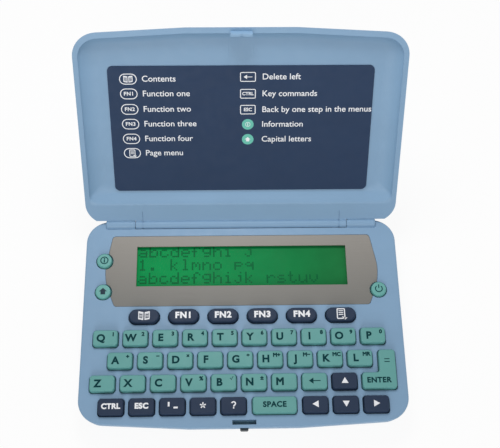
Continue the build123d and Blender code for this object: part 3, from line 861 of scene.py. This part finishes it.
def page_sign():
    """A ruled page with a pointer at its lower corner."""
    lines = [bar(0, row, 2.0, 0.36) for row in (-0.4, 0.45, 1.3)]
    pointer = polygon((1.6, -2.7), (2.6, -1.9), (0.2, -1.2))
    return joined([box_sign(3.6, 4.8, 0.5, 0.45), *lines, pointer])


def backspace_sign():
    """An arrow to the left: a head and a thin shaft."""
    return joined([polygon((-2.3, 0), (-0.5, -1.25), (-0.5, 1.25)), bar(0.9, 0, 2.8, 0.36)])


def shift_sign():
    """A house-shaped arrow that points up."""
    return polygon((-0.75, -1.1), (0.75, -1.1), (0.75, -0.05), (1.35, -0.05), (0, 1.2),
                   (-1.35, -0.05), (-0.75, -0.05))


def ring_sign(radius, line):
    """A circle drawn with a line of a given width, in millimetres."""
    return line_sign(circle(radius * mm), circle((radius - line) * mm))


def info_sign(line=0.3):
    """A ringed letter i: a dot over a stem."""
    dot = moved(solid_sign(circle(0.3 * mm, 12)), 0, 0.72 * mm)
    return joined([ring_sign(1.7, line), dot, bar(0, -0.35, 0.5, 1.3)])


def power_sign(radius=1.6, line=0.42, gap=40):
    """A ring that is open at its top by a gap in degrees each side, with an upright in the gap."""
    t = np.linspace(radians(90 + gap), radians(450 - gap), 33)
    way = np.stack([np.cos(t), np.sin(t)], axis=1)
    ring = np.concatenate([way * radius, way[::-1] * (radius - line)]) * mm
    return joined([solid_sign(ring), bar(0, radius * 0.62, line, radius)])


def question_sign():
    """A question mark: three fifths of a circle that turns into a stem, over a dot."""
    t = np.linspace(radians(165), radians(-40), 19)
    bow = np.stack([0.72 * np.cos(t), 0.55 + 0.68 * np.sin(t)], axis=1)
    path = np.concatenate([bow, [(0.22, -0.20), (0.05, -0.42), (0.0, -0.68)]])
    return joined([stroke(path, 0.5), bar(0, -1.18, 0.52, 0.5)])


def star_sign(arms=5, length=1.2, width=0.48):
    """A star of thin arms about its middle."""
    shapes = []
    for arm in range(arms):
        angle = pi / 2 + 2 * pi * arm / arms
        tip = np.array([cos(angle), sin(angle)]) * length
        shapes.append(stroke([(0, 0), tip * 0.5, tip], width))
    return joined(shapes)


print("the book sign has", len(book_sign()[1]), "faces")

# %% [markdown]
# ## Legends on the keys
#
# A letter sits left of the middle of its cap, and a small second sign sits at the upper right.
# The words here are generic ones: letters, digits, arithmetic and the names that any keyboard
# uses. Each legend rides on its own key, so that it goes down with it.

# %% Key legends
letter_size, letter_weight = 4.15, 0.043
second_size, second_weight = 2.2, 0.055
pair_shift = 0.55  # how much further left a second sign of two marks sits
letter_x, letter_y = -1.75, -0.25
second_x, second_y = 3.1, 1.35

second_signs = dict(zip("qwertyuiop", "1234567890"))
second_signs.update({"a": "+", "s": "−", "d": "×", "g": "÷", "v": "%", "n": "±"})
second_signs.update({"h": "M+", "j": "M−", "k": "MC", "l": "MR"})


def root_sign():
    """A small square-root hook."""
    points = [(-0.75, 0.05), (-0.35, 0.2), (-0.1, -0.35), (0.35, 0.7), (0.75, 0.7), (0.75, 0.5),
              (0.48, 0.5), (-0.08, -0.75), (-0.45, -0.1), (-0.7, -0.15)]
    return polygon(*points[::-1])


def letter_legend(letter):
    """A letter with the second sign that shares its key, if it has one."""
    capital = words(letter.upper(), letter_size * mm, letter_weight)
    shapes = [moved(capital, letter_x * mm, letter_y * mm)]
    if letter == "b":
        shapes.append(moved(root_sign(), second_x * mm, second_y * mm))
    if letter in second_signs:
        sign = words(second_signs[letter], second_size * mm, second_weight)
        shift = pair_shift if len(second_signs[letter]) > 1 else 0
        shapes.append(moved(sign, (second_x - shift) * mm, second_y * mm))
    return joined(shapes)


enter_word = moved(words("ENTER", 3.0 * mm, 0.042, spacing=1.1), -0.3 * mm, -4.75 * mm)
equals_sign = [bar(3.4, 3.95, 2.1, 0.34), bar(3.4, 2.8, 2.1, 0.34)]
legend_of_key = {
    "key_enter": (joined([enter_word, *equals_sign]), key_ink),
    "key_space": (words("SPACE", 3.0 * mm, 0.042, spacing=1.1), key_ink),
    "key_backspace": (backspace_sign(), key_ink),
    "key_control": (words("CTRL", 2.9 * mm, 0.05, spacing=1.08), white_ink),
    "key_escape": (words("ESC", 3.0 * mm, 0.055, spacing=1.1), white_ink),
    "key_apostrophe": (joined([bar(-1.35, 0.6, 0.7, 1.8), bar(1.35, -0.75, 1.65, 0.7)]), white_ink),
    "key_star": (star_sign(), white_ink),
    "key_question": (question_sign(), white_ink),
    "key_arrow_left": (arrow_head(180), white_ink),
    "key_arrow_down": (arrow_head(-90), white_ink),
    "key_arrow_right": (arrow_head(0), white_ink),
    "key_arrow_up": (arrow_head(90), white_ink),
    "key_function_1": (book_sign(), white_ink),
    "key_function_6": (scaled(page_sign(), 0.95), white_ink),
    "button_help": (info_sign(line=0.42), sign_ink),
    "button_shift": (scaled(shift_sign(), 1.25), navy_ink),
    "button_power": (power_sign(), sign_ink),
}
for number in range(1, 5):
    pill_word = words(f"FN{number}", 3.55 * mm, 0.052, spacing=1.15)
    legend_of_key[f"key_function_{number + 1}"] = (pill_word, white_ink)
for letter in "qwertyuiopasdfghjklzxcvbnm":
    legend_of_key[f"key_{letter}"] = (letter_legend(letter), key_ink)

for name, (shape, material) in legend_of_key.items():
    laid = moved(shape, *key_tops[name])
    add_piece(f"{name}_legend", laid, material, name)
print(len(legend_of_key), "legends")

# %% [markdown]
# ## The dot display
#
# The display writes in cells of five by seven square dots. A picture laid on the glass would blur
# up close, so every dark dot is a small tile. Each glyph below has a row of marks for each line of
# dots, from the top down. A test pattern of the alphabet fills the three lines.

# %% Dots of the display
glyphs = {
    "a": "..... ..... .###. ....# .#### #...# .####",
    "b": "#.... #.... #.##. ##..# #...# #...# ####.",
    "c": "..... ..... .###. #.... #.... #...# .###.",
    "d": "....# ....# .##.# #..## #...# #...# .####",
    "e": "..... ..... .###. #...# ##### #.... .###.",
    "f": "..##. .#..# .#... ###.. .#... .#... .#...",
    "g": "..... .#### #...# #...# .#### ....# .###.",
    "h": "#.... #.... #.##. ##..# #...# #...# #...#",
    "i": "..#.. ..... .##.. ..#.. ..#.. ..#.. .###.",
    "j": "...#. ..... ..##. ...#. ...#. #..#. .##..",
    "k": "#.... #.... #..#. #.#.. ##... #.#.. #..#.",
    "l": ".##.. ..#.. ..#.. ..#.. ..#.. ..#.. .###.",
    "m": "..... ..... ##.#. #.#.# #.#.# #...# #...#",
    "n": "..... ..... #.##. ##..# #...# #...# #...#",
    "o": "..... ..... .###. #...# #...# #...# .###.",
    "p": "..... ..... ####. #...# ####. #.... #....",
    "q": "..... ..... .##.# #..## .#### ....# ....#",
    "r": "..... ..... #.##. ##..# #.... #.... #....",
    "s": "..... ..... .###. #.... .###. ....# ####.",
    "t": ".#... .#... ###.. .#... .#... .#..# ..##.",
    "u": "..... ..... #...# #...# #...# #..## .##.#",
    "v": "..... ..... #...# #...# #...# .#.#. ..#..",
    "1": "..#.. .##.. ..#.. ..#.. ..#.. ..#.. .###.",
    ".": "..... ..... ..... ..... ..... .##.. .##..",
}
display_lines = ["abcdefghi j", "1. klmno pq", "abcdefghijk rstuv"]
dot_pitch = 0.74 * mm
dot_width = 0.67 * mm
cell_width = 6 * dot_pitch
line_pitch = 6.0 * mm
text_left = 0.45 * mm
text_top = -0.9 * mm
window_left = -43.55 * mm
window_back = hinge[1] - 10.2 * mm

low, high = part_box("lcd_panel")
dot_places = []
for line, text in enumerate(display_lines):
    for cell, letter in enumerate(text):
        if letter in glyphs:
            marks = np.array([list(row) for row in glyphs[letter].split()])
            rows, columns = np.nonzero(marks == "#")
            x = window_left + text_left + cell * cell_width + (columns + 0.5) * dot_pitch
            y = window_back - text_top - line * line_pitch - (rows + 0.5) * dot_pitch
            dot_places.append(np.stack([x, y, np.full(len(x), high.z)], axis=1))
dot_places = np.concatenate(dot_places)
dot_ring = np.stack([rectangle(dot_width, dot_width)] * 2)
dot_points, dot_faces = skin(raised(dot_ring, [0, ink_height]))
all_points = (dot_places[:, None, :] + dot_points[None, :, :]).reshape(-1, 3)
starts = np.arange(len(dot_places)) * len(dot_points)
all_faces = (starts[:, None, None] + np.array(dot_faces)[None]).reshape(-1, 4).tolist()
add_piece("display_dots", (all_points, all_faces), display_ink, "base")
print(len(dot_places), "dots")

# %% [markdown]
# ## The printed guide in the lid
#
# The dark plate in the lid explains the keys: round-ended icons for the function keys down the
# left, framed ones and two teal discs down the right, each with a few words. It is laid out in
# the plate's own directions and then carried to the leaning face, riding on the lid.

# %% Guide rows
left_column = -44.4
right_column = 2.65
left_words = -39.1
right_words = 8.2
left_heights = [65.3, 59.0, 52.3, 45.8, 39.2, 32.7]
right_heights = [66.0, 58.8, 51.9, 45.4, 38.7]
word_size = 3.55
icon_word_size = 2.2

left_rows = ["Contents", "Function one", "Function two", "Function three", "Function four",
             "Page menu"]
right_rows = ["Delete left", "Key commands", "Back by one step in the menus", "Information",
              "Capital letters"]
pill_frame = box_sign(6.9, 4.6, 2.25, 0.34)
key_frame = box_sign(6.2, 4.1, 0.6, 0.34)
left_icons = [words(f"FN{number}", icon_word_size * mm, 0.025, spacing=1.1)
              for number in range(1, 5)]
left_icons = [scaled(book_sign(), 0.78), *left_icons, scaled(page_sign(), 0.68)]
right_icons = [scaled(backspace_sign(), 0.75), words("CTRL", 1.9 * mm, 0.03),
               words("ESC", 2.0 * mm, 0.03)]

white_shapes = []
for icon, height in zip(left_icons, left_heights):
    white_shapes.append(moved(joined([pill_frame, icon]), left_column * mm, height * mm))
for icon, height in zip(right_icons, right_heights):
    white_shapes.append(moved(joined([key_frame, icon]), right_column * mm, height * mm))
for start, rows, heights in ((left_words, left_rows, left_heights),
                             (right_words, right_rows, right_heights)):
    for text, height in zip(rows, heights):
        line = words(text, word_size * mm, 0.007, align="LEFT")
        white_shapes.append(moved(line, start * mm, height * mm))

disc = solid_sign(circle(2.35 * mm))
discs = []
disc_signs = []
round_signs = [scaled(info_sign(), 0.6), scaled(shift_sign(), 0.85)]
for sign, height in zip(round_signs, right_heights[len(right_icons):]):
    discs.append(moved(disc, right_column * mm, height * mm))
    disc_signs.append(moved(sign, right_column * mm, height * mm, ink_height))

for name, shapes, material in (("guide_white_print", white_shapes, white_ink),
                               ("guide_discs", discs, teal_ink),
                               ("guide_disc_signs", disc_signs, white_ink)):
    add_piece(name, on_lid(joined(shapes), plate_face), material, "lid")
print("guide of", len(left_rows) + len(right_rows), "rows")

# %% [markdown]
# ## The lining of the lid's dish
#
# The lid's inner face is a shallow dish, and a mould leaves no sharp corner at its foot: the wall
# sweeps into the floor, widest along the sides, and next to the hinge the floor climbs in one soft
# wave. Two outlines with the same number of points, the rim's and the floor's, are enough. Each
# ring of the lining lies a given share of the way from one to the other, at a given height.

# %% Outlines of the dish
half_width, lid_length = 65.0, 87.5
rim_side, rim_front = 2.0, 2.4
front_fall, straight_half = 2.4, 21.5
wave_start, wave_end = 9.6, 14.9
dish_depth = 3.2
lip_width = 0.6
side_sweep, front_sweep = 7.5, 3.6
front_lean = np.arctan(front_fall / (half_width - straight_half))
near_points, far_points = 17, 15


def dish_outline(half, front, back, front_radius, back_radius):
    """The dish's plan on the lid, anticlockwise from its near right corner, in millimetres.

    Its front edge is straight in the middle and falls back at the sides by the angle front_lean,
    so a front corner turns by a right angle less front_lean. The corner's arc about (half - R, c)
    touches the slant where c = v - R * (1 - sin(lean)) / cos(lean), v being where the side and
    the slant would meet.
    """
    near = np.linspace(-pi / 2, 0, near_points)
    far = np.linspace(0, pi / 2 - front_lean, far_points)
    meet = front - (half - straight_half) * tan(front_lean)
    centre = meet - front_radius * (1 - sin(front_lean)) / cos(front_lean)
    near_corner = np.stack([half - back_radius + back_radius * np.cos(near),
                            back + back_radius + back_radius * np.sin(near)], axis=1)
    far_corner = np.stack([half - front_radius + front_radius * np.cos(far),
                           centre + front_radius * np.sin(far)], axis=1)
    right_half = np.concatenate([near_corner, far_corner, [(straight_half, front)]])
    return np.concatenate([right_half, right_half[::-1] * (-1, 1)])


rim_half, rim_far = half_width - rim_side, lid_length - rim_front
rim_line = dish_outline(rim_half, rim_far, wave_start, front_radius=8.0, back_radius=4.0)
outer_line = dish_outline(rim_half + lip_width, rim_far + lip_width, wave_start - lip_width,
                          front_radius=8.6, back_radius=1.2)
floor_line = dish_outline(rim_half - side_sweep, rim_far - front_sweep, wave_end,
                          front_radius=4.5, back_radius=6.0)
print("the dish's plan has", len(rim_line), "points")

# %% [markdown]
# ## From the rim to the floor
#
# The share and the height differ between a wall and the wave, so both are worked out for each
# ring and blended around the two near corners. The lip rolls over through most of a quarter turn,
# the wall follows a quarter of an ellipse, and the wave is a smooth step. The lip stays a hair
# below the rim, because the rim meets the deck when the lid is shut.

# %% The lining
lip_up = -0.001
lip_edge, lip_back = -0.03, -2.0
floor_up = 0.01
behind_floor = -dish_depth - 0.3
roll_radius = 0.35
sweep_rings = 14
roll = np.linspace(0, radians(75), 5)
sweep = np.linspace(radians(12), pi / 2, sweep_rings)


def smooth(t):
    """A step from 0 to 1 that starts and ends level: 3 * t^2 - 2 * t^3."""
    return t**2 * (3 - 2 * t)


roll_share = 1 - (roll_radius / lip_width) * (1 - np.sin(roll) / np.sin(roll[-1]))
wall_top = lip_up - roll_radius * (1 - np.cos(roll[-1]))
wall_drop = wall_top + dish_depth - floor_up
sweep_share = (1 - np.cos(sweep)) - (1 - np.cos(sweep[0])) * (1 - np.sin(sweep))
sweep_height = wall_top - wall_drop * (np.sin(sweep) - np.sin(sweep[0])) / (1 - np.sin(sweep[0]))
wave_share = np.linspace(1 / sweep_rings, 1, sweep_rings)
wave_height = lip_up - (lip_up + dish_depth - floor_up) * smooth(wave_share)

is_wave = np.zeros(len(rim_line))
is_wave[:near_points] = 1 - smooth(np.linspace(0, 1, near_points))
is_wave[-near_points:] = is_wave[:near_points][::-1]


def between(first, second, share):
    """Points a share of the way from one outline to another, for one share or one per point."""
    share = np.broadcast_to(share, len(first))[:, None]
    return first + (second - first) * share


def at_height(line, height):
    """An outline lifted to one height, or to one height for each point, in metres."""
    height = np.broadcast_to(height, len(line))[:, None]
    return np.concatenate([line, height], axis=1) * mm


lining = [at_height(rim_line, behind_floor), at_height(outer_line, lip_back),
          at_height(outer_line, lip_edge)]
for share, angle in zip(roll_share, roll):
    height = lip_up - roll_radius * (1 - np.cos(angle)) * (1 - is_wave)
    lining.append(at_height(between(outer_line, rim_line, share), height))
for wall, drop, wave, fall in zip(sweep_share, sweep_height, wave_share, wave_height):
    share = wall + (wave - wall) * is_wave
    height = drop + (fall - drop) * is_wave
    lining.append(at_height(between(rim_line, floor_line, share), height))
lining.append(at_height(floor_line, behind_floor))
lining_shape = skin(np.stack(lining), looped=True)
add_piece("lid_dish_lining", on_lid(lining_shape), case_plastic, "lid")
print("the lining has", len(lining_shape[1]), "faces")

# %% [markdown]
# ## Small mouldings on the lid and hinge
#
# The hook's notch only nicks its barb, so a bridge fills the rest of it. Under the hook the mould's
# moving block leaves a faint raised patch. The two slits beside the hinge pins have a thin web at
# their bottom. Each fixed ear of the hinge wears a sleeve, which leaves the turning lid just
# enough room.

# %% Bridge, patch, webs and sleeves
bridge_middle = 85.65
patch_start, patch_end = 74.2, 84.6
web_half, web_x, web_middle = 0.25, 41.4, 3.85
web_radius = 1.5
sleeve_start, sleeve_end = 44.7, 56.9
sleeve_radius, sleeve_roll = 1.97, 0.8


def soft_block(width, length, low, high, corner, roll):
    """A block with round corners and a rolled upper rim about the origin, in millimetres.

    The rim's growth is roll * (sin(t) - 1) and its drop is roll * (1 - cos(t)), for t from a
    quarter turn down to 0.
    """
    t = np.linspace(pi / 2, 0, 4)
    growths = np.concatenate([[0], roll * (np.sin(t) - 1)])
    heights = np.concatenate([[low], high - roll * (1 - np.cos(t))])
    return skin(raised(rounded(rectangle(width, length) * mm, corner * mm, growths * mm),
                       heights * mm))


def rod(start, end, radius, roll, count=48):
    """A rod along the hinge axis with rolled ends, in millimetres.

    At each end the radius is radius - roll * (1 - cos(t)) while x runs out by roll * sin(t).
    """
    t = np.linspace(0, radians(80), 5)
    x = np.concatenate([start + roll * (1 - np.sin(t[::-1])), end - roll * (1 - np.sin(t))])
    r = np.concatenate([radius - roll * (1 - np.cos(t[::-1])), radius - roll * (1 - np.cos(t))])
    a = np.linspace(0, 2 * pi, count, endpoint=False)
    rings = np.stack([x[:, None] + 0 * a, r[:, None] * np.cos(a), r[:, None] * np.sin(a)], axis=-1)
    return skin(rings * mm)


bridge = soft_block(width=1.04, length=0.6, low=2.3, high=3.38, corner=0.05, roll=0.04)
patch = soft_block(width=9.8, length=patch_end - patch_start, low=-3.6, high=-3.11, corner=0.6,
                   roll=0.06)
web = soft_block(width=2 * web_half, length=5.2, low=-1.6, high=-0.3, corner=0.04, roll=0.03)
mouldings = [moved(bridge, 0, bridge_middle * mm),
             moved(patch, 0, (patch_start + patch_end) / 2 * mm)]
sleeves = []
for side in (-1, 1):
    mouldings.append(moved(web, side * web_x * mm, web_middle * mm))
    mouldings.append(rod(side * web_x - web_half, side * web_x + web_half, web_radius, 0.04))
    ends = sorted((side * sleeve_start, side * sleeve_end))
    sleeves.append(moved(rod(*ends, sleeve_radius, sleeve_roll), *hinge))
add_piece("lid_mouldings", on_lid(joined(mouldings)), case_plastic, "lid")
add_piece("hinge_sleeves", joined(sleeves), case_plastic, "base")
print(len(mouldings), "mouldings and", len(sleeves), "sleeves")

# %% [markdown]
# ## The catch's spring
#
# A bowed strip of steel pushes the catch forwards. Its two ends lean on a rib of the tray and its
# crown leans on the catch, so it rides with neither.

# %% Leaf spring
leaf_half, leaf_bow, leaf_thickness = 6.0, 1.19, 0.2
leaf_low, leaf_high = 6.4, 7.5
leaf_back = -39.55


def leaf():
    """A strip bent into a circular arc, in millimetres.

    An arc that rises by b over a half chord c has the radius r = (c^2 + b^2) / (2 * b), and its
    height at x is sqrt(r^2 - x^2) - (r - b).
    """
    x = np.linspace(-leaf_half, leaf_half, 41)
    radius = (leaf_half**2 + leaf_bow**2) / (2 * leaf_bow)
    back = leaf_back + radius - leaf_bow - np.sqrt(radius**2 - x**2)
    front = back - leaf_thickness
    y = np.stack([front, back, back, front], axis=1)
    z = np.array([leaf_low, leaf_low, leaf_high, leaf_high])
    return skin(np.stack([x[:, None] + 0 * y, y, z + 0 * y], axis=-1) * mm)


leaf_spring = add_piece("latch_leaf_spring", leaf(), cell_steel, None)
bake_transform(leaf_spring)
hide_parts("latch_spring")
print("the leaf is", round(leaf_bow + leaf_thickness, 2), "mm deep at rest")

# %% [markdown]
# ## Case screws
#
# Four self-tapping screws come up through the underside, their heads sunk in round recesses. A
# head is a low dome with a cross-shaped socket. It is worked out as a surface over radius and
# angle: the dome's height minus the socket's depth wherever the point lies inside the cross.

# %% Four screws
screw_places = [(50.5, 9.0), (53.0, 40.5)]
recess_height = 1.2 * mm
head_radius = 1.65 * mm
head_rise = 0.75 * mm
socket_depth = 0.5 * mm
socket_half = 0.26 * mm
socket_reach = 1.05 * mm
radius_steps = 22
angle_steps = 64


def screw_head():
    """A screw's head that hangs below height 0: rings of radius r and angle a.

    The dome falls as head_rise * sqrt(1 - (0.85 r / R)^2). Points within socket_half of either
    axis, and within socket_reach of the middle, are lifted by socket_depth.
    """
    r = np.linspace(head_radius, 0.02 * mm, radius_steps)[:, None]
    a = np.linspace(0, 2 * pi, angle_steps, endpoint=False)[None, :]
    x, y = r * np.cos(a), r * np.sin(a)
    dome = head_rise * np.sqrt(1 - (0.85 * r / head_radius) ** 2) + 0 * a
    in_cross = (np.minimum(abs(x), abs(y)) < socket_half) & (r < socket_reach)
    z = -dome + socket_depth * in_cross
    rings = np.stack([x, y, z], axis=-1)
    foot = np.stack([x[0], y[0], 0 * x[0]], axis=-1)
    return skin(np.concatenate([foot[None], rings])[:, ::-1])


head = screw_head()
screws = []
for x, distance in screw_places:
    for side in (-1, 1):
        screws.append(moved(head, side * x * mm, hinge[1] - distance * mm, recess_height))
add_piece("case_screws", joined(screws), screw_steel, "base")
print(len(screws), "screws")
